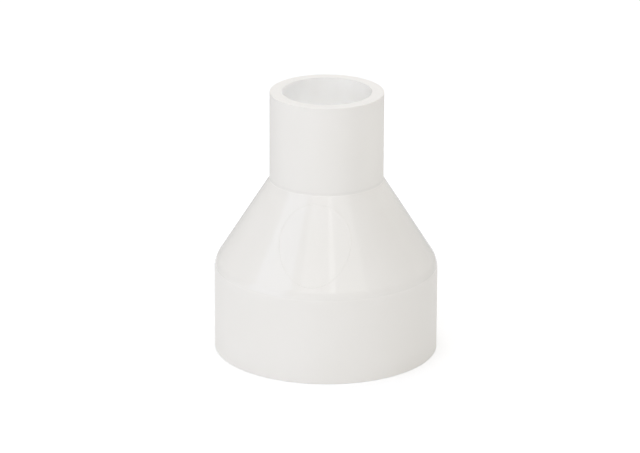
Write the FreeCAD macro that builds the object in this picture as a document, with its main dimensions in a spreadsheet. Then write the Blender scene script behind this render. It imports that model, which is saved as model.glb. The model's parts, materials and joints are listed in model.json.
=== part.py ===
"""Concentric butt-fusion reducer for plastic pressure pipe, 63 mm to 32 mm, with long straight spigots.

The fitting is one moulding with three zones, and each zone is a node of its own:

    large_spigot   straight tube with a planed end face, standing on the XY plane
    cone           lands, rounded shoulder, cone and neck outside, tapering bore inside
    small_spigot   straight tube with a planed end face, at the top

Its frame has the origin at the centre of the large end face and +Z along the axis, towards the small end.
Neighbouring zones meet face to face where the outside and the bore are both straight, so each pair shares the
diameter and the wall of its spigot. Lengths are in millimetres.
"""

import FreeCAD
import Part
import Sketcher

import os

OUT_FOLDER = "parts"

# Driving dimensions: alias, value in millimetres, meaning.
SIZES = (
    ("large_od", 63.0, "outside diameter of the large spigot"),
    ("large_wall", 6.6, "wall of the large spigot"),
    ("large_length", 25.4, "end face of the large spigot to the corner of the shoulder"),
    ("small_od", 32.0, "outside diameter of the small spigot"),
    ("small_wall", 3.4, "wall of the small spigot"),
    ("small_length", 25.4, "corner of the neck to the end face of the small spigot"),
    ("cone_length", 24.5, "corner of the shoulder to the corner of the neck, along the axis"),
    ("shoulder_land", 3.0, "straight stretch of the cone zone below the shoulder, outside"),
    ("neck_land", 1.5, "straight stretch of the cone zone above the neck, outside"),
    ("bell_land", 4.2, "straight bore of the cone zone at its wide end"),
    ("throat_land", 5.5, "straight bore of the cone zone at its narrow end"),
    ("shoulder_radius", 6.2, "outer rounding of the shoulder"),
    ("neck_radius", 0.4, "outer hollow rounding of the neck"),
    ("bell_radius", 6.0, "rounding where the wide bore turns inwards"),
    ("throat_radius", 4.0, "rounding where the tapering bore runs into the narrow one"),
    ("end_chamfer", 0.2, "deburred outer edge of each planed end face"),
)

# The corner heights of the cone zone above its own lower face, as the sheet gives them.
SHOULDER_HEIGHT = "Sizes.shoulder_land"
NECK_HEIGHT = "Sizes.shoulder_land + Sizes.cone_length"
CONE_HEIGHT = "Sizes.shoulder_land + Sizes.cone_length + Sizes.neck_land"

SAME_PLACE = 1e-4  # two heights or radii closer than this are the same, in millimetres


def make_sheet(doc):
    """Writes the driving dimensions into the document's sheet, one named cell each."""
    sheet = doc.addObject("Spreadsheet::Sheet", "Sizes")
    for row, (alias, value, meaning) in enumerate(SIZES, start=1):
        sheet.set(f"A{row}", alias)
        sheet.set(f"B{row}", str(value))
        sheet.set(f"C{row}", meaning)
        sheet.setAlias(f"B{row}", alias)
    doc.recompute()
    return sheet


def make_body(doc, name):
    """An empty body whose label names its STEP file."""
    body = doc.addObject("PartDesign::Body", name)
    body.Label = name
    return body


def make_sketch(body, name, plane_role):
    """A sketch on one of the body's own origin planes."""
    plane = next(f for f in body.Origin.OriginFeatures if f.Role == plane_role)
    sketch = body.newObject("Sketcher::SketchObject", name)
    sketch.AttachmentSupport = (plane, [""])
    sketch.MapMode = "FlatFace"
    return sketch


def bind(sketch, constraint, name, formula):
    """Adds a dimension to the sketch under a name and ties it to the sheet."""
    index = sketch.addConstraint(constraint)
    sketch.renameConstraint(index, name)
    sketch.setExpression(f"Constraints.{name}", formula)


def add_circle(sketch, radius, name, formula):
    """A circle about the axis whose radius follows the sheet."""
    circle = sketch.addGeometry(Part.Circle(FreeCAD.Vector(), FreeCAD.Vector(0, 0, 1), radius))
    sketch.addConstraint(Sketcher.Constraint("Coincident", circle, 3, -1, 1))
    bind(sketch, Sketcher.Constraint("Radius", circle, radius), name, formula)


def ring_edges(feature, radius, height):
    """Names of the feature's circular edges about the axis that have this radius and lie at this height."""
    found = []
    for number, edge in enumerate(feature.Shape.Edges, start=1):
        if not isinstance(edge.Curve, Part.Circle):
            continue
        if abs(edge.Curve.Radius - radius) > SAME_PLACE:
            continue
        if abs(edge.Curve.Center.z - height) < SAME_PLACE:
            found.append(f"Edge{number}")
    if not found:
        raise RuntimeError(f"{feature.Label} has no ring of radius {radius} at height {height}")
    return found


def make_spigot(doc, sheet, name, od, wall, length_formula, free_end_up):
    """A straight tube on the XY plane of its body, with the outer edge of its free end face deburred."""
    outer = getattr(sheet, od) / 2
    inner = outer - getattr(sheet, wall)
    body = make_body(doc, name)

    section = make_sketch(body, f"{name}_section", "XY_Plane")
    add_circle(section, outer, "outside", f"Sizes.{od} / 2")
    add_circle(section, inner, "bore", f"Sizes.{od} / 2 - Sizes.{wall}")

    tube = body.newObject("PartDesign::Pad", f"{name}_tube")
    tube.Profile = section
    tube.setExpression("Length", length_formula)
    doc.recompute()

    free_end = float(tube.Length) if free_end_up else 0.0
    deburr = body.newObject("PartDesign::Chamfer", f"{name}_deburr")
    deburr.Base = (tube, ring_edges(tube, outer, free_end))
    deburr.setExpression("Size", "Sizes.end_chamfer")
    return body


def draw_cone_profile(sketch, sheet):
    """The half section of the cone zone with sharp corners, radius along X and height along Z.

    It runs round the wall: lower face, outside upwards, upper face, bore downwards.
    """
    wide = sheet.large_od / 2
    narrow = sheet.small_od / 2
    wide_bore = wide - sheet.large_wall
    narrow_bore = narrow - sheet.small_wall
    shoulder = sheet.shoulder_land
    neck = shoulder + sheet.cone_length
    top = neck + sheet.neck_land

    corners = (
        ("wide_bore", wide_bore, "Sizes.large_od / 2 - Sizes.large_wall", 0.0, None),
        ("wide", wide, "Sizes.large_od / 2", 0.0, None),
        ("shoulder", wide, None, shoulder, SHOULDER_HEIGHT),
        ("neck", narrow, None, neck, NECK_HEIGHT),
        ("narrow", narrow, "Sizes.small_od / 2", top, CONE_HEIGHT),
        ("narrow_bore", narrow_bore, "Sizes.small_od / 2 - Sizes.small_wall", top, None),
        ("throat", narrow_bore, None, top - sheet.throat_land, f"{CONE_HEIGHT} - Sizes.throat_land"),
        ("bell", wide_bore, None, sheet.bell_land, "Sizes.bell_land"),
    )
    count = len(corners)
    lines = []
    for place, corner in enumerate(corners):
        following = corners[(place + 1) % count]
        start = FreeCAD.Vector(corner[1], corner[3], 0)
        end = FreeCAD.Vector(following[1], following[3], 0)
        lines.append(sketch.addGeometry(Part.LineSegment(start, end)))
    for place in range(count):
        sketch.addConstraint(Sketcher.Constraint("Coincident", lines[place], 2, lines[(place + 1) % count], 1))

    lower_face, outer_land, _, neck_line, upper_face, throat_line, _, bell_line = lines
    for line in (lower_face, upper_face):
        sketch.addConstraint(Sketcher.Constraint("Horizontal", line))
    for line in (outer_land, neck_line, throat_line, bell_line):
        sketch.addConstraint(Sketcher.Constraint("Vertical", line))
    sketch.addConstraint(Sketcher.Constraint("PointOnObject", lower_face, 1, -1))

    for line, (name, radius, radius_formula, height, height_formula) in zip(lines, corners):
        if radius_formula:
            across = Sketcher.Constraint("DistanceX", -1, 1, line, 1, radius)
            bind(sketch, across, f"{name}_radius", radius_formula)
        if height_formula:
            up = Sketcher.Constraint("DistanceY", -1, 1, line, 1, height)
            bind(sketch, up, f"{name}_height", height_formula)


def round_ring(doc, body, name, radius, height, size_alias):
    """Rounds the ring edge of the body's last feature at this radius and height."""
    base = body.Tip
    rounding = body.newObject("PartDesign::Fillet", name)
    rounding.Base = (base, ring_edges(base, radius, height))
    rounding.setExpression("Radius", f"Sizes.{size_alias}")
    doc.recompute()
    return rounding


def make_cone(doc, sheet):
    """The reducing zone: its sharp section turned about the axis, then rounded at four rings."""
    body = make_body(doc, "cone")
    section = make_sketch(body, "cone_section", "XZ_Plane")
    draw_cone_profile(section, sheet)

    turned = body.newObject("PartDesign::Revolution", "cone_wall")
    turned.Profile = section
    turned.ReferenceAxis = (section, ["V_Axis"])
    turned.Angle = 360
    doc.recompute()

    wide = sheet.large_od / 2
    narrow = sheet.small_od / 2
    neck = sheet.shoulder_land + sheet.cone_length
    throat = neck + sheet.neck_land - sheet.throat_land
    round_ring(doc, body, "shoulder_rounding", wide, sheet.shoulder_land, "shoulder_radius")
    round_ring(doc, body, "neck_rounding", narrow, neck, "neck_radius")
    round_ring(doc, body, "bell_rounding", wide - sheet.large_wall, sheet.bell_land, "bell_radius")
    round_ring(doc, body, "throat_rounding", narrow - sheet.small_wall, throat, "throat_radius")

    body.setExpression("Placement.Base.z", "Sizes.large_length - Sizes.shoulder_land")
    return body


def make_reducer():
    """Builds the document and returns it with its three sub-parts, from the bottom up."""
    doc = FreeCAD.newDocument("Reducer")
    sheet = make_sheet(doc)
    large_spigot = make_spigot(
        doc,
        sheet,
        "large_spigot",
        od="large_od",
        wall="large_wall",
        length_formula="Sizes.large_length - Sizes.shoulder_land",
        free_end_up=False,
    )
    cone = make_cone(doc, sheet)
    small_spigot = make_spigot(
        doc,
        sheet,
        "small_spigot",
        od="small_od",
        wall="small_wall",
        length_formula="Sizes.small_length - Sizes.neck_land",
        free_end_up=True,
    )
    small_spigot.setExpression(
        "Placement.Base.z", "Sizes.large_length + Sizes.cone_length + Sizes.neck_land"
    )
    doc.recompute()
    return doc, (large_spigot, cone, small_spigot)


def check(doc, bodies):
    """Stops if any object failed or a sub-part isn't one valid solid."""
    for item in doc.Objects:
        if "Invalid" in item.State or "Error" in item.State:
            raise RuntimeError(f"{item.Label} failed: {item.State}")
    for body in bodies:
        shape = body.Shape
        if shape.isNull() or not shape.isValid() or len(shape.Solids) != 1:
            raise RuntimeError(f"{body.Label} is not one valid solid")


def export(bodies):
    """Writes each sub-part to a STEP file named after it and prints its size."""
    os.makedirs(OUT_FOLDER, exist_ok=True)
    for body in bodies:
        body.Shape.exportStep(os.path.join(OUT_FOLDER, f"{body.Label}.step"))
        box = body.Shape.BoundBox
        print(f"{body.Label}: z {box.ZMin:.2f} to {box.ZMax:.2f} mm, {body.Shape.Volume / 1000:.2f} cm3")


reducer, parts = make_reducer()
check(reducer, parts)
export(parts)
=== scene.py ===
"""A milky white butt-fusion pipe reducer, 63 mm to 32 mm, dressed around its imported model.

The fitting is one moulding with three zones: a large spigot, a reducing cone and a small spigot. Each
zone is modelled as a closed wall of revolution and takes the place of its solid. The hairline that a round
insert in the mould leaves on the cone is a piece of its own. Lengths are in metres, and heights run up from
the large end face.
"""

import json
import logging
import math
from collections.abc import Callable, Iterator, Sequence
from contextlib import contextmanager
from dataclasses import dataclass, field, replace
from enum import Enum
from itertools import pairwise

import bmesh
import bpy
from mathutils import Matrix, Vector


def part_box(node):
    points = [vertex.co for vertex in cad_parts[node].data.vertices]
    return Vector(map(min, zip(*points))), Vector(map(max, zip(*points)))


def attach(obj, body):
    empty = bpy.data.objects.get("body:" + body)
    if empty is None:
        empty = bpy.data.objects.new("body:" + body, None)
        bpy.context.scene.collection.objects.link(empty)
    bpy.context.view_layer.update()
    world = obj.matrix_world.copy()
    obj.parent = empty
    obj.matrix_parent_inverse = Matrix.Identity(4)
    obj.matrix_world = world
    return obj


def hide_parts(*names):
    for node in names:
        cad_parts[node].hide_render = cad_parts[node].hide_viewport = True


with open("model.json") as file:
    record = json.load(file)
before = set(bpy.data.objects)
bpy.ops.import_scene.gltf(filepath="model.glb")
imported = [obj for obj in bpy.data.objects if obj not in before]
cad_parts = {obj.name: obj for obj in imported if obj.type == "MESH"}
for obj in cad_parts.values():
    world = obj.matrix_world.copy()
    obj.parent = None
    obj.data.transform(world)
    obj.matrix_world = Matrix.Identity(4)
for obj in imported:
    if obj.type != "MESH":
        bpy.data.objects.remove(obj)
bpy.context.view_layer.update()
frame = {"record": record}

log = logging.getLogger("reducer")

BODY = "root"
MM = 0.001
FACETS = 288  # round the axis
SAME_PLACE = 0.01 * MM  # two places closer than this are one
SMOOTH_UP_TO = math.radians(30)  # a sharper turn between faces stays a visible edge


# ---- Sizes -------------------------------------------------------------------


@dataclass(frozen=True)
class Ring:
    """A circle about the axis, one corner of a wall's section.

    Attributes:
        radius: its radius.
        height: its height above the large end face.
        rounding: radius of the rounding at this corner, or 0 for a sharp one.
        steps: number of facets that make the rounding.
    """

    radius: float
    height: float
    rounding: float = 0.0
    steps: int = 1


@dataclass(frozen=True)
class Fitting:
    """The sizes that the three zones share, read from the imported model.

    Attributes:
        large: outside radius of the large spigot.
        small: outside radius of the small spigot.
        large_bore: radius of the wide bore.
        small_bore: radius of the narrow bore.
        lower_joint: height where the large spigot runs into the cone zone.
        upper_joint: height where the cone zone runs into the small spigot.
        top: height of the small end face.
    """

    large: float
    small: float
    large_bore: float
    small_bore: float
    lower_joint: float
    upper_joint: float
    top: float

    @classmethod
    def from_frame(cls) -> "Fitting":
        """Reads the sizes from the solids' boxes and the bore mounts.

        Returns:
            The fitting's shared sizes.
        """
        mounts = frame["record"]["mounts"]
        bores = {mount["name"]: mount["dims"]["r_mm"] * MM for mount in mounts if mount["kind"] == "bore"}
        _, cone_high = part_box("cone")
        _, large_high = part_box("large_spigot")
        _, small_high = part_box("small_spigot")
        return cls(
            large=large_high.x,
            small=small_high.x,
            large_bore=bores["large_bore"],
            small_bore=bores["small_bore"],
            lower_joint=large_high.z,
            upper_joint=cone_high.z,
            top=small_high.z,
        )


# ---- Modelling helpers -------------------------------------------------------


@contextmanager
def editing(piece: bpy.types.Object, select: str = "VERT") -> Iterator[None]:
    """Edit mode on one piece, with nothing selected at the start.

    Args:
        piece: the mesh object to edit.
        select: what is selected, VERT, EDGE or FACE.
    """
    bpy.ops.object.select_all(action="DESELECT")
    piece.select_set(True)
    bpy.context.view_layer.objects.active = piece
    bpy.ops.object.mode_set(mode="EDIT")
    bpy.ops.mesh.select_mode(type=select)
    bpy.ops.mesh.select_all(action="DESELECT")
    yield
    bpy.ops.object.mode_set(mode="OBJECT")


def select_edges(piece: bpy.types.Object, wanted: Callable[[Vector, Vector], bool]) -> None:
    """Selects the edges of the piece in edit mode whose two ends satisfy a test.

    Args:
        piece: the mesh object in edit mode.
        wanted: says for the two end points whether their edge is selected.
    """
    mesh = bmesh.from_edit_mesh(piece.data)
    for edge in mesh.edges:
        edge.select_set(wanted(edge.verts[0].co, edge.verts[1].co))
    bmesh.update_edit_mesh(piece.data)


def on_ring(ring: Ring) -> Callable[[Vector, Vector], bool]:
    """A test for edges that lie along a ring.

    Args:
        ring: the circle about the axis.

    Returns:
        A function of an edge's two end points.
    """

    def is_there(end: Vector) -> bool:
        """Whether a point is on the ring."""
        beside = math.hypot(end.x, end.y) - ring.radius
        return abs(beside) < SAME_PLACE and abs(end.z - ring.height) < SAME_PLACE

    return lambda first, second: is_there(first) and is_there(second)


def setback(before: Ring, corner: Ring, after: Ring) -> float:
    """How far from a corner its rounding starts.

    Args:
        before: the ring before the corner along the section.
        corner: the ring that is rounded.
        after: the ring after it.

    Returns:
        The distance along either side from the corner to the rounding's end.
    """
    arriving = Vector((corner.radius - before.radius, corner.height - before.height))
    leaving = Vector((after.radius - corner.radius, after.height - corner.height))
    return corner.rounding * math.tan(arriving.angle(leaving) / 2)


def apply_modifier(piece: bpy.types.Object, kind: str, **settings: object) -> None:
    """Adds a modifier, sets it up and applies it.

    Args:
        piece: the mesh object.
        kind: the modifier's type.
        settings: its properties by name.
    """
    bpy.ops.object.select_all(action="DESELECT")
    piece.select_set(True)
    bpy.context.view_layer.objects.active = piece
    modifier = piece.modifiers.new(kind.lower(), kind)
    for key, value in settings.items():
        setattr(modifier, key, value)
    bpy.ops.object.modifier_apply(modifier=modifier.name)


def finish_surface(piece: bpy.types.Object) -> None:
    """Points the faces outwards, smooths the round ones and keeps the flat ones flat."""
    with editing(piece, "FACE"):
        bpy.ops.mesh.select_all(action="SELECT")
        bpy.ops.mesh.normals_make_consistent(inside=False)
    bpy.ops.object.shade_smooth_by_angle(angle=SMOOTH_UP_TO)
    apply_modifier(piece, "WEIGHTED_NORMAL", keep_sharp=True)


def turn_wall(name: str, section: Sequence[Ring]) -> bpy.types.Object:
    """Models a closed wall of revolution from the corners of its section.

    A circle at the first corner is extruded from corner to corner, the last ring is bridged to the first,
    and the ring edges are then rounded.

    Args:
        name: the piece's name.
        section: the section's corners in order round the wall.

    Returns:
        The finished mesh object, with its place in its mesh.
    """
    start = section[0]
    bpy.ops.object.select_all(action="DESELECT")
    bpy.ops.mesh.primitive_circle_add(
        vertices=FACETS, radius=start.radius, fill_type="NOTHING", location=(0, 0, start.height)
    )
    bpy.ops.object.transform_apply(location=True, rotation=True, scale=True)
    piece = bpy.context.active_object
    piece.name = piece.data.name = name
    with editing(piece, "EDGE"):
        bpy.ops.mesh.select_all(action="SELECT")
        for before, after in pairwise(section):
            spread = after.radius / before.radius
            rise = (0, 0, after.height - before.height)
            bpy.ops.mesh.extrude_edges_move(TRANSFORM_OT_translate={"value": rise})
            bpy.ops.transform.resize(value=(spread, spread, 1), center_override=(0, 0, after.height))
        on_start, on_end = on_ring(start), on_ring(section[-1])
        select_edges(piece, lambda a, b: on_start(a, b) or on_end(a, b))
        bpy.ops.mesh.bridge_edge_loops()
        for place, corner in enumerate(section):
            if corner.rounding:
                before, after = section[place - 1], section[(place + 1) % len(section)]
                select_edges(piece, on_ring(corner))
                bpy.ops.mesh.bevel(
                    offset_type="OFFSET",
                    offset=setback(before, corner, after),
                    segments=corner.steps,
                    profile=0.5,
                    affect="EDGES",
                    clamp_overlap=False,
                )
    finish_surface(piece)
    return piece


def paint_faces(piece: bpy.types.Object, slot: int, wanted: Callable[[Vector, Vector], bool]) -> None:
    """Gives some faces another of the piece's materials.

    Args:
        piece: the mesh object, with its materials in place.
        slot: index of the material among them.
        wanted: says for a face's centre and normal whether it takes that material.
    """
    for face in piece.data.polygons:
        if wanted(face.center, face.normal):
            face.material_index = slot


# ---- Shared effects, as shader node groups -----------------------------------


CLOUD_EDGES = (0.3, 0.7)  # the noise at which a cloud starts and is full
WAVES_PER_GRAIN = 0.06  # how much sparser the waves under the grain are
CHATTERS_PER_METRE = 300.0  # how often the turning marks wander


class Socket(Enum):
    """The kinds of socket that an effect takes and gives."""

    VALUE = "NodeSocketFloat"
    COLOUR = "NodeSocketColor"


class Nodes:
    """Short ways to add and wire nodes in one node tree."""

    def __init__(self, tree: bpy.types.NodeTree) -> None:
        """Starts on a node tree."""
        self.tree = tree

    def add(self, kind: str, **settings: object) -> bpy.types.Node:
        """Adds a node.

        Args:
            kind: the node's type name.
            settings: its properties by name.

        Returns:
            The new node.
        """
        node = self.tree.nodes.new(kind)
        for key, value in settings.items():
            setattr(node, key, value)
        return node

    def wire(self, source: bpy.types.NodeSocket, target: bpy.types.NodeSocket) -> None:
        """Links an output to an input."""
        self.tree.links.new(source, target)

    def feed(self, target: bpy.types.NodeSocket, source: object) -> None:
        """Gives an input a link or a plain value."""
        if isinstance(source, bpy.types.NodeSocket):
            self.wire(source, target)
        else:
            target.default_value = source

    def maths(self, operation: str, *values: object, clamp: bool = False) -> bpy.types.NodeSocket:
        """Adds a maths node.

        Args:
            operation: what it does, such as MULTIPLY.
            values: its inputs, each a socket or a number.
            clamp: whether the result is kept between 0 and 1.

        Returns:
            Its output.
        """
        node = self.add("ShaderNodeMath", operation=operation, use_clamp=clamp)
        for target, value in zip(node.inputs, values):
            self.feed(target, value)
        return node.outputs[0]

    def height(self) -> bpy.types.NodeSocket:
        """Height above the large end face, in metres."""
        place = self.add("ShaderNodeTexCoord")
        apart = self.add("ShaderNodeSeparateXYZ")
        self.wire(place.outputs["Object"], apart.inputs[0])
        return apart.outputs["Z"]

    def radius(self) -> bpy.types.NodeSocket:
        """Distance from the axis, in metres."""
        place = self.add("ShaderNodeTexCoord")
        level = self.add("ShaderNodeVectorMath", operation="MULTIPLY")
        level.inputs[1].default_value = (1, 1, 0)
        self.wire(place.outputs["Object"], level.inputs[0])
        length = self.add("ShaderNodeVectorMath", operation="LENGTH")
        self.wire(level.outputs[0], length.inputs[0])
        return length.outputs["Value"]

    def noise(self, scale: object, detail: float, roughness: float = 0.5) -> bpy.types.NodeSocket:
        """A cloud of noise in the piece's own metres.

        Args:
            scale: features per metre.
            detail: how many finer layers are added.
            roughness: how strong the finer layers are.

        Returns:
            The noise, about 0.5 on average.
        """
        place = self.add("ShaderNodeTexCoord")
        node = self.add("ShaderNodeTexNoise")
        node.inputs["Detail"].default_value = detail
        node.inputs["Roughness"].default_value = roughness
        self.feed(node.inputs["Scale"], scale)
        self.wire(place.outputs["Object"], node.inputs["Vector"])
        return node.outputs["Fac"]

    def range(
        self, value: object, low: object, high: object, to_low: object, to_high: object
    ) -> bpy.types.NodeSocket:
        """Maps a value from one range to another, with a smooth start and end.

        Args:
            value: the value to map.
            low: where the first range starts.
            high: where it ends.
            to_low: what low becomes.
            to_high: what high becomes.

        Returns:
            The mapped value.
        """
        node = self.add("ShaderNodeMapRange", interpolation_type="SMOOTHSTEP")
        for target, source in zip(node.inputs, (value, low, high, to_low, to_high)):
            self.feed(target, source)
        return node.outputs["Result"]

    def blend(self, share: object, first: object, second: object) -> bpy.types.NodeSocket:
        """Mixes two colours.

        Args:
            share: 0 for the first colour, 1 for the second.
            first: a socket or a colour.
            second: a socket or a colour.

        Returns:
            The mixed colour.
        """
        node = self.add("ShaderNodeMix", data_type="RGBA")
        self.feed(node.inputs[0], share)
        self.feed(node.inputs[6], first)
        self.feed(node.inputs[7], second)
        return node.outputs[2]


def new_effect(
    name: str, takes: dict[str, tuple[Socket, object]], gives: dict[str, Socket]
) -> tuple[bpy.types.NodeTree, Nodes, bpy.types.Node, bpy.types.Node]:
    """Starts a shader node group.

    Args:
        name: the effect's name.
        takes: its inputs, each with a kind and a usual value.
        gives: its outputs, each with a kind.

    Returns:
        The group, its nodes, its input node and its output node.
    """
    group = bpy.data.node_groups.new(name, "ShaderNodeTree")
    for key, (kind, usual) in takes.items():
        group.interface.new_socket(key, in_out="INPUT", socket_type=kind.value).default_value = usual
    for key, kind in gives.items():
        group.interface.new_socket(key, in_out="OUTPUT", socket_type=kind.value)
    nodes = Nodes(group)
    return group, nodes, nodes.add("NodeGroupInput"), nodes.add("NodeGroupOutput")


def make_milky_depth() -> bpy.types.NodeTree:
    """Slow clouds in the plastic, where its crystals pack more or less densely.

    Returns:
        A group that gives a colour between a clear tint and a dense one.
    """
    group, nodes, given, result = new_effect(
        "milky_depth",
        {
            "Dense": (Socket.COLOUR, (0.9, 0.9, 0.9, 1)),
            "Clear": (Socket.COLOUR, (0.8, 0.8, 0.8, 1)),
            "Per metre": (Socket.VALUE, 60.0),
            "Amount": (Socket.VALUE, 0.5),
        },
        {"Colour": Socket.COLOUR},
    )
    slow = nodes.noise(given.outputs["Per metre"], detail=2)
    spread = nodes.range(slow, *CLOUD_EDGES, 0.0, 1.0)
    share = nodes.maths("MULTIPLY", spread, given.outputs["Amount"], clamp=True)
    nodes.wire(nodes.blend(share, given.outputs["Dense"], given.outputs["Clear"]), result.inputs["Colour"])
    return group


def make_handling_haze() -> bpy.types.NodeTree:
    """Faint smears and dull patches from handling, as a roughness that varies over the surface.

    Returns:
        A group that gives a roughness.
    """
    group, nodes, given, result = new_effect(
        "handling_haze",
        {"Roughness": (Socket.VALUE, 0.3), "Haze": (Socket.VALUE, 0.05), "Per metre": (Socket.VALUE, 120.0)},
        {"Roughness": Socket.VALUE},
    )
    patches = nodes.noise(given.outputs["Per metre"], detail=4, roughness=0.6)
    offset = nodes.maths("MULTIPLY", nodes.maths("SUBTRACT", patches, 0.5), given.outputs["Haze"])
    rough = nodes.maths("ADD", given.outputs["Roughness"], offset, clamp=True)
    nodes.wire(rough, result.inputs["Roughness"])
    return group


def make_mould_grain() -> bpy.types.NodeTree:
    """The fine grain of a moulded or planed skin, as a height.

    Returns:
        A group that gives a height of about 1 from low to high.
    """
    group, nodes, given, result = new_effect(
        "mould_grain",
        {"Per metre": (Socket.VALUE, 2500.0), "Waviness": (Socket.VALUE, 0.3)},
        {"Height": Socket.VALUE},
    )
    fine = nodes.noise(given.outputs["Per metre"], detail=3, roughness=0.65)
    slow = nodes.noise(nodes.maths("MULTIPLY", given.outputs["Per metre"], WAVES_PER_GRAIN), detail=1)
    nodes.wire(nodes.maths("MULTIPLY_ADD", slow, given.outputs["Waviness"], fine), result.inputs["Height"])
    return group


def make_height_belt() -> bpy.types.NodeTree:
    """A belt round the fitting between two heights, with a soft edge below and above.

    Returns:
        A group that gives 1 on the belt and 0 off it.
    """
    group, nodes, given, result = new_effect(
        "height_belt",
        {"Bottom": (Socket.VALUE, 0.0), "Top": (Socket.VALUE, 0.05), "Fade": (Socket.VALUE, 0.5 * MM)},
        {"Mask": Socket.VALUE},
    )
    height = nodes.height()
    bottom, top = given.outputs["Bottom"], given.outputs["Top"]
    above = nodes.range(height, bottom, nodes.maths("ADD", bottom, given.outputs["Fade"]), 0.0, 1.0)
    below = nodes.range(height, nodes.maths("SUBTRACT", top, given.outputs["Fade"]), top, 1.0, 0.0)
    nodes.wire(nodes.maths("MULTIPLY", above, below), result.inputs["Mask"])
    return group


def make_turning_marks() -> bpy.types.NodeTree:
    """Fine rings that a planing blade leaves on an end face, as a height.

    Returns:
        A group that gives a height of about 1 from groove to crest.
    """
    group, nodes, given, result = new_effect(
        "turning_marks",
        {"Pitch": (Socket.VALUE, 0.15 * MM), "Chatter": (Socket.VALUE, 0.5)},
        {"Height": Socket.VALUE},
    )
    turns = nodes.maths("DIVIDE", nodes.radius(), given.outputs["Pitch"])
    chatter = nodes.maths("MULTIPLY", nodes.noise(CHATTERS_PER_METRE, detail=2), given.outputs["Chatter"])
    wave = nodes.maths("SINE", nodes.maths("MULTIPLY", nodes.maths("ADD", turns, chatter), math.tau))
    nodes.wire(nodes.maths("MULTIPLY_ADD", wave, 0.5, 0.5), result.inputs["Height"])
    return group


@dataclass
class Effects:
    """The shared effects, each built once."""

    milky_depth: bpy.types.NodeTree = field(default_factory=make_milky_depth)
    handling_haze: bpy.types.NodeTree = field(default_factory=make_handling_haze)
    mould_grain: bpy.types.NodeTree = field(default_factory=make_mould_grain)
    height_belt: bpy.types.NodeTree = field(default_factory=make_height_belt)
    turning_marks: bpy.types.NodeTree = field(default_factory=make_turning_marks)


# ---- Finishes ----------------------------------------------------------------


class Slot(Enum):
    """The record's material slots."""

    SATIN = "satin_plastic"
    GLOSSY = "glossy_plastic"


@dataclass(frozen=True)
class Polish:
    """A belt of the moulding that the mould's polished steel left glossy, with painted shade in the crease
    just above it.

    Attributes:
        bottom: height where it starts.
        top: height where it ends.
        fade: height over which the gloss comes in.
        roughness: how blurred its reflections are.
        haze: how much that roughness varies.
        grain: share of the grain's depth that is left on it.
        crease: height of the painted shade above it, in the hollow of the neck where shadow falls.
        crease_fade: height over which that painted shade comes in.
        crease_painted_shade: dark colour that is painted in as that shade.
        crease_share: how strongly the shade is painted.
    """

    bottom: float
    top: float
    fade: float = 0.5 * MM
    roughness: float = 0.04
    haze: float = 0.01
    grain: float = 0.1
    crease: float = 1.0 * MM
    crease_fade: float = 0.4 * MM
    crease_painted_shade: tuple[float, float, float, float] = (0.45, 0.43, 0.4, 1.0)
    crease_share: float = 0.05


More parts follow.
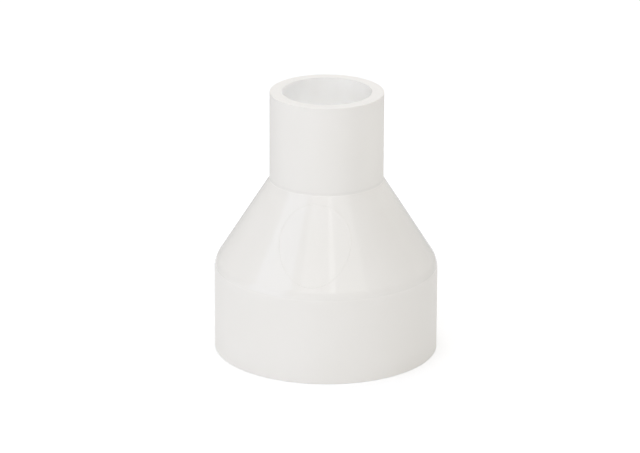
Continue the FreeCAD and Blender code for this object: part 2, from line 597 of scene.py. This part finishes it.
@dataclass(frozen=True)
class Plastic:
    """Natural milky white fluoropolymer, in one of its surface finishes.

    Attributes:
        name: the finish's name.
        roughness: how blurred its reflections are.
        haze: how much the roughness varies.
        grain_height: depth of its grain, in metres.
        ring_height: depth of the turning marks, in metres, or 0 for none.
        polish: its polished belt, if it has one.
        ior: index of refraction, which sets the strength of its reflections.
        dense: colour where the plastic is densest.
        clear: colour where it is clearest.
        clouds: clouds of clear plastic per metre.
        cloudiness: how clear they get, 1 being the full clear colour.
        smears: patches of haze per metre.
        grains: grains per metre.
        waviness: height of the waves under the grain, 1 being the grain's own.
        ring_pitch: distance from one turning mark to the next.
        chatter: how much the turning marks wander.
    """

    name: str
    roughness: float
    haze: float
    grain_height: float
    ring_height: float = 0.0
    polish: Polish | None = None
    ior: float = 1.42
    dense: tuple[float, float, float, float] = (0.97, 0.94, 0.89, 1.0)
    clear: tuple[float, float, float, float] = (0.955, 0.925, 0.87, 1.0)
    clouds: float = 55.0
    cloudiness: float = 0.6
    smears: float = 110.0
    grains: float = 2200.0
    waviness: float = 0.4
    ring_pitch: float = 0.15 * MM
    chatter: float = 0.5

    def place(self, nodes: Nodes, group: bpy.types.NodeTree, **values: object) -> bpy.types.Node:
        """Puts an effect in this finish's material.

        Args:
            nodes: the material's nodes.
            group: the effect.
            values: its inputs by name, with _ for a space.

        Returns:
            The group node.
        """
        node = nodes.add("ShaderNodeGroup", node_tree=group)
        for key, value in values.items():
            nodes.feed(node.inputs[key.replace("_", " ")], value)
        return node

    def belt(
        self, nodes: Nodes, effects: Effects, bottom: float, top: float, fade: float
    ) -> bpy.types.NodeSocket:
        """A mask round the fitting between two heights.

        Args:
            nodes: the material's nodes.
            effects: the shared effects.
            bottom: the lower height.
            top: the upper height.
            fade: height over which it comes in and goes.

        Returns:
            1 between the heights and 0 elsewhere.
        """
        return self.place(nodes, effects.height_belt, Bottom=bottom, Top=top, Fade=fade).outputs["Mask"]

    def make(self, effects: Effects) -> bpy.types.Material:
        """Builds the material.

        Args:
            effects: the shared effects.

        Returns:
            The material.
        """
        material = bpy.data.materials.new(self.name)
        material.use_nodes = True
        nodes = Nodes(material.node_tree)
        shader = material.node_tree.nodes["Principled BSDF"]
        shader.inputs["IOR"].default_value = self.ior
        depth = self.place(
            nodes,
            effects.milky_depth,
            Dense=self.dense,
            Clear=self.clear,
            Per_metre=self.clouds,
            Amount=self.cloudiness,
        )
        colour = depth.outputs["Colour"]
        roughness, haziness, relief = self.roughness, self.haze, 1.0
        if self.polish:
            gloss = self.polish
            belt = self.belt(nodes, effects, gloss.bottom, gloss.top, gloss.fade)
            roughness = nodes.range(belt, 0.0, 1.0, self.roughness, gloss.roughness)
            haziness = nodes.range(belt, 0.0, 1.0, self.haze, gloss.haze)
            relief = nodes.range(belt, 0.0, 1.0, 1.0, gloss.grain)
            # painted shade: the base colour is darkened in the hollow of the neck, just above the belt,
            # where shadow falls
            crease = self.belt(nodes, effects, gloss.top, gloss.top + gloss.crease, gloss.crease_fade)
            shade = nodes.maths("MULTIPLY", crease, gloss.crease_share)
            colour = nodes.blend(shade, colour, gloss.crease_painted_shade)
        nodes.wire(colour, shader.inputs["Base Color"])
        haze = self.place(
            nodes, effects.handling_haze, Roughness=roughness, Haze=haziness, Per_metre=self.smears
        )
        nodes.wire(haze.outputs["Roughness"], shader.inputs["Roughness"])
        grain = self.place(nodes, effects.mould_grain, Per_metre=self.grains, Waviness=self.waviness)
        bump = nodes.add("ShaderNodeBump")
        bump.inputs["Distance"].default_value = self.grain_height
        nodes.wire(nodes.maths("MULTIPLY", grain.outputs["Height"], relief), bump.inputs["Height"])
        if self.ring_height:
            rings = self.place(nodes, effects.turning_marks, Pitch=self.ring_pitch, Chatter=self.chatter)
            rings_bump = nodes.add("ShaderNodeBump")
            rings_bump.inputs["Distance"].default_value = self.ring_height
            nodes.wire(rings.outputs["Height"], rings_bump.inputs["Height"])
            nodes.wire(rings_bump.outputs["Normal"], bump.inputs["Normal"])
        nodes.wire(bump.outputs["Normal"], shader.inputs["Normal"])
        return material


POLISHED = "polished_moulding"
POLISHED_IOR = 1.5  # its reflections are a little stronger than the satin skin's
SATIN = Plastic("satin_moulding", roughness=0.36, haze=0.06, grain_height=0.003 * MM)
PLANED = Plastic(
    "planed_end",
    roughness=0.5,
    haze=0.06,
    grain_height=0.003 * MM,
    ring_height=0.004 * MM,
    dense=(0.963, 0.938, 0.903, 1.0),
    clear=(0.948, 0.923, 0.883, 1.0),
)


def polished(belt: Polish) -> Plastic:
    """The satin finish with a polished belt.

    Args:
        belt: the belt.

    Returns:
        The finish.
    """
    return replace(SATIN, name=POLISHED, polish=belt, ior=POLISHED_IOR)


# ---- The zones of the moulding -----------------------------------------------


@dataclass
class Spigot:
    """A straight tube with a planed end face, one end of the fitting.

    Attributes:
        node: the solid that it takes the place of.
        outer: outside radius.
        bore: bore radius.
        free_end: height of its planed end face.
        joint: height where it runs into the cone zone.
        deburr: radius of the broken outer edge of the planed end; the edge of the bore is left sharp.
    """

    node: str
    outer: float
    bore: float
    free_end: float
    joint: float
    deburr: float = 0.2 * MM

    def section(self) -> list[Ring]:
        """The corners of the wall, from the joint outside round to the joint inside."""
        return [
            Ring(self.outer, self.joint),
            Ring(self.outer, self.free_end, rounding=self.deburr, steps=3),
            Ring(self.bore, self.free_end),
            Ring(self.bore, self.joint),
        ]

    def build(self, finishes: dict[str, bpy.types.Material]) -> bpy.types.Object:
        """Models the spigot and dresses it.

        Args:
            finishes: the materials by finish name.

        Returns:
            The finished piece.
        """
        piece = turn_wall(f"{self.node}_wall", self.section())
        piece.data.materials.append(finishes[SATIN.name])
        piece.data.materials.append(finishes[PLANED.name])
        paint_faces(piece, 1, lambda centre, _: abs(centre.z - self.free_end) < SAME_PLACE)
        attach(piece, BODY)
        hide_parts(self.node)
        return piece


@dataclass
class Cone:
    """The reducing zone: lands, rounded shoulder, cone and neck outside, tapering bore inside.

    Attributes:
        fitting: the sizes that the zones share.
        shoulder_land: straight stretch outside, below the shoulder's corner.
        neck_land: straight stretch outside, above the neck's corner.
        bell_land: straight bore at the wide end.
        throat_land: straight bore at the narrow end.
        shoulder_rounding: outer radius of the shoulder.
        neck_rounding: outer hollow radius of the neck, next to nothing.
        bell_rounding: radius where the wide bore turns inwards.
        throat_rounding: radius where the tapering bore runs into the narrow one.
        polish_below: how far below the shoulder's corner the polished belt starts.
    """

    fitting: Fitting
    shoulder_land: float = 3.0 * MM
    neck_land: float = 1.5 * MM
    bell_land: float = 4.2 * MM
    throat_land: float = 5.5 * MM
    shoulder_rounding: float = 6.2 * MM
    neck_rounding: float = 0.15 * MM
    bell_rounding: float = 6.0 * MM
    throat_rounding: float = 4.0 * MM
    polish_below: float = 1.0 * MM

    @property
    def shoulder(self) -> float:
        """Height of the shoulder's corner."""
        return self.fitting.lower_joint + self.shoulder_land

    @property
    def neck(self) -> float:
        """Height of the neck's corner."""
        return self.fitting.upper_joint - self.neck_land

    @property
    def belt(self) -> Polish:
        """The polished belt, from just below the shoulder up to the neck."""
        return Polish(bottom=self.shoulder - self.polish_below, top=self.neck)

    def section(self) -> list[Ring]:
        """The corners of the wall, from the lower joint outside up, and inside down."""
        size = self.fitting
        bell = size.lower_joint + self.bell_land
        throat = size.upper_joint - self.throat_land
        return [
            Ring(size.large, size.lower_joint),
            Ring(size.large, self.shoulder, self.shoulder_rounding, steps=16),
            Ring(size.small, self.neck, self.neck_rounding, steps=6),
            Ring(size.small, size.upper_joint),
            Ring(size.small_bore, size.upper_joint),
            Ring(size.small_bore, throat, self.throat_rounding, steps=10),
            Ring(size.large_bore, bell, self.bell_rounding, steps=10),
            Ring(size.large_bore, size.lower_joint),
        ]

    def build(self, finishes: dict[str, bpy.types.Material]) -> bpy.types.Object:
        """Models the cone and dresses it.

        Args:
            finishes: the materials by finish name.

        Returns:
            The finished piece.
        """
        piece = turn_wall("cone_wall", self.section())
        piece.data.materials.append(finishes[POLISHED])
        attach(piece, BODY)
        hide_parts("cone")
        return piece


@dataclass
class InsertLine:
    """The hairline that a round insert in the mould, a pin level with the cone, leaves round its end.

    Attributes:
        radius: radius of the insert.
        bearing: angle of the insert round the axis, from the front, positive to the right.
        height: height of its centre.
        width: width of the line.
        proud: how far the line stands out of the cone.
        softness: width of the bevel on its edges, as a share of that.
        reach: distance from the axis that the line is drawn at before it is laid on the cone.
    """

    radius: float = 10.0 * MM
    bearing: float = math.radians(-8.4)
    height: float = 37.85 * MM
    width: float = 0.2 * MM
    proud: float = 0.06 * MM
    softness: float = 0.6
    reach: float = 60.0 * MM

    def draw(self) -> bpy.types.Object:
        """Draws the line as a flat ring that faces the cone, some way off.

        Returns:
            The ring, turned so that its own Z points away from the cone.
        """
        centre = Vector((math.sin(self.bearing), -math.cos(self.bearing), 0)) * self.reach
        centre.z = self.height
        inner, outer = self.radius - self.width / 2, self.radius + self.width / 2
        bpy.ops.object.select_all(action="DESELECT")
        bpy.ops.mesh.primitive_circle_add(
            vertices=FACETS,
            radius=inner,
            fill_type="NOTHING",
            location=centre,
            rotation=(math.pi / 2, 0, self.bearing),
        )
        piece = bpy.context.active_object
        piece.name = piece.data.name = "insert_line"
        spread = outer / inner
        with editing(piece, "EDGE"):
            bpy.ops.mesh.select_all(action="SELECT")
            bpy.ops.mesh.extrude_edges_move()
            bpy.ops.transform.resize(value=(spread, spread, spread), center_override=centre)
        return piece

    def build(self, finishes: dict[str, bpy.types.Material], wall: bpy.types.Object) -> bpy.types.Object:
        """Lays the line on the cone and gives it a thickness.

        Args:
            finishes: the materials by finish name.
            wall: the cone's piece.

        Returns:
            The finished piece.
        """
        piece = self.draw()
        apply_modifier(
            piece,
            "SHRINKWRAP",
            target=wall,
            wrap_method="PROJECT",
            use_project_z=True,
            use_positive_direction=False,
            use_negative_direction=True,
        )
        bpy.ops.object.transform_apply(location=True, rotation=True, scale=True)
        apply_modifier(piece, "SOLIDIFY", thickness=2 * self.proud, offset=0.0)
        apply_modifier(piece, "BEVEL", width=self.softness * self.proud, segments=2, limit_method="ANGLE")
        finish_surface(piece)
        piece.data.materials.append(finishes[POLISHED])
        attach(piece, BODY)
        return piece


# ---- Studio ------------------------------------------------------------------


COOL = (0.8, 0.86, 1.0)  # colour of the lamps on the left, a little bluer than the others


def direction(bearing: float, elevation: float) -> Vector:
    """The unit vector that points out from the axis.

    Args:
        bearing: angle round the axis, in degrees from the front, positive to the right.
        elevation: angle above the floor, in degrees.

    Returns:
        The vector.
    """
    turn, lift = math.radians(bearing), math.radians(elevation)
    return Vector((math.sin(turn) * math.cos(lift), -math.cos(turn) * math.cos(lift), math.sin(lift)))


def hang(lamp: bpy.types.Light, target: Vector, away: Vector) -> bpy.types.Object:
    """Hangs a lamp so that it faces a point, and keeps it out of reflections.

    Args:
        lamp: the lamp.
        target: the point that it faces.
        away: where it hangs, from that point.

    Returns:
        The lamp object.
    """
    piece = bpy.data.objects.new(lamp.name, lamp)
    bpy.context.scene.collection.objects.link(piece)
    piece.location = target + away
    piece.rotation_euler = away.to_track_quat("Z", "Y").to_euler()
    piece.visible_glossy = False
    return piece


@dataclass(frozen=True)
class Softbox:
    """A rectangular lamp that faces the fitting and isn't mirrored in it.

    Attributes:
        name: the lamp's name.
        bearing: direction from the axis, in degrees from the front, positive to the right.
        elevation: direction above the floor, in degrees.
        width: angle that it fills sideways, in degrees.
        tall: angle that it fills up and down, in degrees.
        radiance: how bright its face is, 1 being a white card in plain light.
        colour: its colour.
        distance: how far away it stands.
    """

    name: str
    bearing: float
    elevation: float
    width: float
    tall: float
    radiance: float
    colour: tuple[float, float, float] = (1.0, 1.0, 1.0)
    distance: float = 1.5

    def build(self, target: Vector) -> bpy.types.Object:
        """Hangs the lamp.

        Args:
            target: the point that it faces.

        Returns:
            The lamp object.
        """
        lamp = bpy.data.lights.new(self.name, "AREA")
        lamp.shape = "RECTANGLE"
        lamp.size = 2 * self.distance * math.tan(math.radians(self.width / 2))
        lamp.size_y = 2 * self.distance * math.tan(math.radians(self.tall / 2))
        lamp.energy = self.radiance * math.pi * lamp.size * lamp.size_y
        lamp.color = self.colour
        return hang(lamp, target, direction(self.bearing, self.elevation) * self.distance)


@dataclass(frozen=True)
class Spotlight:
    """A round lamp with a soft edge that lights one height of the fitting and isn't seen or mirrored.

    Attributes:
        name: the lamp's name.
        bearing: direction from the axis, in degrees from the front, positive to the right.
        elevation: direction above the floor, in degrees.
        strength: light that it throws on what faces it, 1 being plain light.
        facing: height on the axis that it points at.
        reach: radius of its circle of light there, from which it fades towards the edge.
        distance: how far away it stands.
        size: radius of the lamp, which softens its shadows.
    """

    name: str
    bearing: float
    elevation: float
    strength: float
    facing: float = 65 * MM
    reach: float = 35 * MM
    distance: float = 0.8
    size: float = 10 * MM

    def build(self) -> bpy.types.Object:
        """Hangs the lamp.

        Returns:
            The lamp object.
        """
        lamp = bpy.data.lights.new(self.name, "SPOT")
        lamp.spot_size = 2 * math.atan(self.reach / self.distance)
        lamp.spot_blend = 1.0
        lamp.shadow_soft_size = self.size
        lamp.energy = self.strength * (2 * math.pi * self.distance) ** 2
        out = direction(self.bearing, self.elevation)
        piece = hang(lamp, Vector((0, 0, self.facing)), out * self.distance)
        piece.visible_camera = False
        return piece


@dataclass(frozen=True)
class Card:
    """An upright card beside the fitting that only reflections show. It glows at a brightness of its own and
    is not lit: a bright card paints a highlight into the reflections, and a dim one paints shade there.

    Attributes:
        name: the card's name.
        bearing: direction from the axis, in degrees from the front, positive to the right.
        distance: how far it stands from the axis.
        width: its length along the floor.
        top: height of its upper edge.
        shade: how bright it glows, 1 being white.
        bottom: height of its lower edge.
        colour: its colour.
    """

    name: str
    bearing: float
    distance: float
    width: float
    top: float
    shade: float
    bottom: float = 0.0
    colour: tuple[float, float, float] = (1.0, 1.0, 1.0)

    def build(self) -> bpy.types.Object:
        """Stands the card up, where only reflections show it.

        Returns:
            The card object.
        """
        bearing = math.radians(self.bearing)
        middle = (self.bottom + self.top) / 2
        bpy.ops.object.select_all(action="DESELECT")
        bpy.ops.mesh.primitive_plane_add(
            size=1.0,
            location=(self.distance * math.sin(bearing), -self.distance * math.cos(bearing), middle),
            rotation=(math.pi / 2, 0, bearing),
        )
        card = bpy.context.active_object
        card.name = card.data.name = self.name
        card.scale = (self.width, self.top - self.bottom, 1.0)
        bpy.ops.object.transform_apply(location=True, rotation=True, scale=True)
        material = bpy.data.materials.new(self.name)
        material.use_nodes = True
        material.cycles.emission_sampling = "NONE"
        shader = material.node_tree.nodes["Principled BSDF"]
        shader.inputs["Base Color"].default_value = (0, 0, 0, 1)
        shader.inputs["Specular IOR Level"].default_value = 0.0
        shader.inputs["Emission Color"].default_value = (*self.colour, 1)
        shader.inputs["Emission Strength"].default_value = self.shade
        card.data.materials.append(material)
        card.visible_camera = card.visible_diffuse = card.visible_transmission = card.visible_shadow = False
        return card


@dataclass(frozen=True)
class WallGlow:
    """The light that soaks through the milky wall into the bore.

    A small round lamp stands in for it, just above the floor inside the wide end and facing up.

    Attributes:
        across: diameter of the lamp.
        place: its centre.
        radiance: how bright its face is.
        colour: its colour.
    """

    across: float = 24 * MM
    place: tuple[float, float, float] = (11.5 * MM, -4.5 * MM, 2 * MM)
    radiance: float = 9.8
    colour: tuple[float, float, float] = (0.655, 0.772, 1.0)

    def build(self) -> bpy.types.Object:
        """Lays the lamp down, out of the camera's sight.

        Returns:
            The lamp object.
        """
        lamp = bpy.data.lights.new("wall_glow", "AREA")
        lamp.shape = "DISK"
        lamp.size = self.across
        lamp.energy = self.radiance * math.pi * math.pi * (self.across / 2) ** 2
        lamp.color = self.colour
        piece = bpy.data.objects.new("wall_glow", lamp)
        bpy.context.scene.collection.objects.link(piece)
        piece.location = self.place
        piece.rotation_euler.x = math.pi
        piece.visible_camera = False
        return piece


@dataclass(frozen=True)
class Viewpoint:
    """Where the camera stands: far off, with a long lens, a little above the fitting.

    Attributes:
        elevation: angle above the floor, in degrees.
        distance: how far from the point that it faces.
        facing: height of that point on the axis.
        lens: focal length, in millimetres.
        sensor: width of the camera's sensor, in millimetres.
        roll: how far the camera is turned about its line of sight, in degrees.
        shift: how far the frame is shifted right and up, as a share of its width.
    """

    elevation: float = 19.49
    distance: float = 1.184
    facing: float = 36 * MM
    lens: float = 236.4
    sensor: float = 36.0
    roll: float = 0.29
    shift: tuple[float, float] = (-0.00977, -0.00353)

    def build(self) -> bpy.types.Object:
        """Sets up the camera.

        Returns:
            The camera object.
        """
        elevation = math.radians(self.elevation)
        camera = bpy.data.cameras.new("camera")
        camera.sensor_width = self.sensor
        camera.lens = self.lens
        camera.shift_x, camera.shift_y = self.shift
        piece = bpy.data.objects.new("camera", camera)
        bpy.context.scene.collection.objects.link(piece)
        back = Vector((0, -math.cos(elevation), math.sin(elevation)))
        tilt = Matrix.Rotation(math.pi / 2 - elevation, 4, "X")
        place = Matrix.Translation(Vector((0, 0, self.facing)) + back * self.distance)
        piece.matrix_world = place @ tilt @ Matrix.Rotation(math.radians(self.roll), 4, "Z")
        bpy.context.scene.camera = piece
        return piece


@dataclass
class Studio:
    """A pale floor and backdrop, soft lamps and the camera.

    Attributes:
        ambient: light that comes evenly from all sides.
        ceiling: light that the ceiling adds, in full from straight above and none from the horizon.
        backdrop_top: how high the white backdrop reaches all round, in degrees above the floor.
        backdrop_fade: angle over which it fades into the dimmer ceiling, in degrees.
        floor_white: how much of the floor's white is its own where it is mirrored.
        floor_glow: how much is its own where it is looked at, which keeps the shadow on it faint.
        floor_size: length of the floor's sides.
        floor_shade: its colour, 1 being white.
        floor_roughness: how matt it is.
        viewpoint: the camera's place.
        lamps: the lamps that light all of the fitting.
        spotlights: the lamps that light its upper end alone.
        cards: the glowing cards that it mirrors, which paint highlights and shade into its reflections.
        wall_glow: the light inside the bore.
    """

    ambient: float = 0.12
    ceiling: float = 0.78
    backdrop_top: float = 8.0
    backdrop_fade: float = 6.0
    floor_white: float = 0.02
    floor_glow: float = 0.21
    floor_size: float = 2.0
    floor_shade: float = 0.95
    floor_roughness: float = 0.9
    viewpoint: Viewpoint = field(default_factory=Viewpoint)
    lamps: tuple[Softbox, ...] = (
        Softbox("left_panel", bearing=-66, elevation=30, width=49, tall=40, radiance=0.48, colour=COOL),
        Softbox("low_panel", bearing=-30, elevation=8, width=60, tall=14, radiance=1.59, colour=COOL),
        Softbox("front_panel", bearing=7, elevation=50, width=80, tall=22, radiance=0.96),
        Softbox("back_panel", bearing=180, elevation=50, width=60, tall=40, radiance=0.8),
    )
    spotlights: tuple[Spotlight, ...] = (
        Spotlight("left_edge_lamp", bearing=-120, elevation=5, strength=0.035),
        Spotlight("right_edge_lamp", bearing=120, elevation=5, strength=0.16),
        Spotlight("upper_front_lamp", bearing=0, elevation=5, strength=0.021, facing=75 * MM),
    )
    # Glowing cards seen only in reflections: window, front_sheet and bright_strip paint highlights, and the
    # walls and the two near cards paint shade
    cards: tuple[Card, ...] = (
        Card("left_card", bearing=-140, distance=0.13, width=0.18, top=0.11, shade=0.58),
        Card("right_card", bearing=140, distance=0.13, width=0.18, top=0.11, shade=0.58),
        Card("window", -63, distance=1.5, width=1.15, bottom=0.08, top=1.6, shade=1.56, colour=COOL),
        Card("front_sheet", bearing=9, distance=1.5, width=2.56, bottom=0.9, top=2.1, shade=1.32),
        Card("bright_strip", bearing=8.3, distance=1.49, width=0.2, bottom=0.9, top=2.1, shade=2.3),
        Card("front_wall", bearing=9, distance=1.5, width=2.56, top=0.9, shade=0.74),
        Card("left_wall", bearing=-117, distance=1.5, width=1.95, top=0.42, shade=0.5),
        Card("right_wall", bearing=95, distance=1.5, width=3.0, top=0.42, shade=0.5),
    )
    wall_glow: WallGlow = field(default_factory=WallGlow)

    @staticmethod
    def seen_directly(nodes: Nodes) -> bpy.types.NodeSocket:
        """1 for a ray from the camera, a mirror or glass, and 0 for light on its way to a surface."""
        path = nodes.add("ShaderNodeLightPath")
        mirror, glass = path.outputs["Is Glossy Ray"], path.outputs["Is Transmission Ray"]
        reflected = nodes.maths("MAXIMUM", mirror, glass)
        return nodes.maths("MAXIMUM", path.outputs["Is Camera Ray"], reflected)

    def build_surroundings(self) -> None:
        """An even pale light, with a backdrop that is seen as white."""
        world = bpy.data.worlds.new("surroundings")
        bpy.context.scene.world = world
        world.use_nodes = True
        nodes = Nodes(world.node_tree)
        background = world.node_tree.nodes["Background"]
        background.inputs["Color"].default_value = (1, 1, 1, 1)
        place = nodes.add("ShaderNodeTexCoord")
        apart = nodes.add("ShaderNodeSeparateXYZ")
        nodes.wire(place.outputs["Generated"], apart.inputs[0])
        above = nodes.maths("MAXIMUM", apart.outputs["Z"], 0.0)
        even = nodes.maths("MULTIPLY", nodes.maths("GREATER_THAN", apart.outputs["Z"], 0.0), self.ambient)
        light = nodes.maths("MULTIPLY_ADD", above, self.ceiling, even)
        top = math.sin(math.radians(self.backdrop_top))
        end = math.sin(math.radians(self.backdrop_top + self.backdrop_fade))
        backdrop = nodes.range(apart.outputs["Z"], top, end, 1.0, 0.0)
        white = nodes.maths("MULTIPLY", self.seen_directly(nodes), backdrop)
        missing = nodes.maths("SUBTRACT", 1.0, light)
        nodes.wire(nodes.maths("MULTIPLY_ADD", missing, white, light), background.inputs["Strength"])

    def build_floor(self) -> bpy.types.Object:
        """A white floor that keeps the fitting's shadow.

        Returns:
            The floor object.
        """
        bpy.ops.object.select_all(action="DESELECT")
        bpy.ops.mesh.primitive_plane_add(size=self.floor_size)
        floor = bpy.context.active_object
        floor.name = floor.data.name = "floor"
        material = bpy.data.materials.new("floor")
        material.use_nodes = True
        material.cycles.emission_sampling = "NONE"
        nodes = Nodes(material.node_tree)
        shader = material.node_tree.nodes["Principled BSDF"]
        shader.inputs["Base Color"].default_value = (self.floor_shade,) * 3 + (1,)
        shader.inputs["Roughness"].default_value = self.floor_roughness
        shader.inputs["Specular IOR Level"].default_value = 0.0
        shader.inputs["Emission Color"].default_value = (1, 1, 1, 1)
        path = nodes.add("ShaderNodeLightPath")
        extra = self.floor_glow - self.floor_white
        looked_at = nodes.maths("MULTIPLY", path.outputs["Is Camera Ray"], extra)
        glow = nodes.maths("MULTIPLY_ADD", self.seen_directly(nodes), self.floor_white, looked_at)
        nodes.wire(glow, shader.inputs["Emission Strength"])
        floor.data.materials.append(material)
        return floor

    def build(self) -> None:
        """Sets up the floor, the surroundings, the lamps and the camera."""
        bpy.context.scene.view_settings.view_transform = "Standard"
        self.build_surroundings()
        self.build_floor()
        for lamp in self.lamps:
            lamp.build(Vector((0, 0, self.viewpoint.facing)))
        for helper in (*self.spotlights, *self.cards):
            helper.build()
        self.wall_glow.build()
        self.viewpoint.build()


def main() -> None:
    """Builds the fitting's pieces and the studio."""
    logging.basicConfig(level=logging.INFO, format="%(message)s")
    Studio().build()
    size = Fitting.from_frame()
    effects = Effects()
    cone = Cone(size)
    finishes = {finish.name: finish.make(effects) for finish in (SATIN, polished(cone.belt), PLANED)}
    large = Spigot("large_spigot", size.large, size.large_bore, 0.0, size.lower_joint)
    small = Spigot("small_spigot", size.small, size.small_bore, size.top, size.upper_joint)
    wall = cone.build(finishes)
    for piece in (large.build(finishes), wall, small.build(finishes), InsertLine().build(finishes, wall)):
        log.info("%s: %d faces", piece.name, len(piece.data.polygons))


if __name__ == "__main__":
    main()
